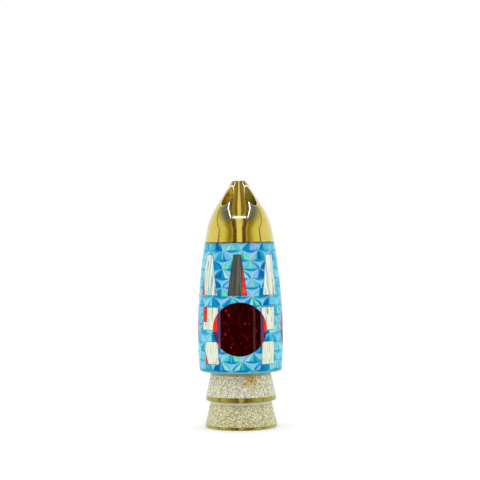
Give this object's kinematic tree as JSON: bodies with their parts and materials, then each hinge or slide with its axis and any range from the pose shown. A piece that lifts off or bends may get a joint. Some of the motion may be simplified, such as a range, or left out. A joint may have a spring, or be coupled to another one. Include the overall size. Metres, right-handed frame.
{
  "type": "jetted trolling lure head",
  "caption": "Bullet-shaped trolling lure head with a polished brass nose with water jets, a clear-coated prism-film body with mirror chips and red eyes, and two flared skirt collars.",
  "frame": {"origin": "centre of the flat tail face that the head stands on", "axes": "+Z along the leader bore from the tail to the nose, -Y towards the front eye, +X towards the right of that eye"},
  "size_m": [0.0254, 0.0254, 0.0731],
  "materials": {
    "nose_brass": "turned and mirror polished",
    "tube_brass": "drawn tube, bright",
    "spindle_brass": "turned, plain",
    "collar_brass": "turned and polished rims",
    "glitter_grit": "silver-gold glitter grit in clear coat",
    "core_resin": "cast resin",
    "prism_film": "light blue prism film with a fish-scale pattern",
    "clear_resin": "clear cast resin, polished",
    "mirror_foil": "hand-cut mirror foil",
    "red_foil": "red reflective foil",
    "eye_film": "translucent deep red film"
  },
  "bodies": {
    "root": {"eye_disc_front": "eye_film", "eye_disc_rear_left": "eye_film", "eye_disc_rear_right": "eye_film", "front_collar_grit": "glitter_grit", "front_skirt_collar": "collar_brass", "insert_core": "core_resin", "jet_tube_1": "tube_brass", "jet_tube_2": "tube_brass", "jet_tube_3": "tube_brass", "jet_tube_4": "tube_brass", "leader_tube": "tube_brass", "mirror_block_lower_left": "mirror_foil", "mirror_block_lower_rear": "mirror_foil", "mirror_block_lower_right": "mirror_foil", "mirror_block_upper_left": "mirror_foil", "mirror_block_upper_rear": "mirror_foil", "mirror_block_upper_right": "mirror_foil", "mirror_wedge_front": "mirror_foil", "mirror_wedge_left": "mirror_foil", "mirror_wedge_rear": "mirror_foil", "mirror_wedge_rear_left": "mirror_foil", "mirror_wedge_rear_right": "mirror_foil", "mirror_wedge_right": "mirror_foil", "nose_cone": "nose_brass", "prism_film": "prism_film", "rear_collar_grit": "glitter_grit", "rear_skirt_collar": "collar_brass", "red_flash_block_lower_left": "red_foil", "red_flash_block_upper_left": "red_foil", "red_flash_strip_right": "red_foil", "red_flash_wedge_front": "red_foil", "red_flash_wedge_left": "red_foil", "red_flash_wedge_rear_left": "red_foil", "red_flash_wedge_rear_right": "red_foil", "resin_jacket": "clear_resin", "tail_spindle": "spindle_brass"}
  },
  "joints": []
}
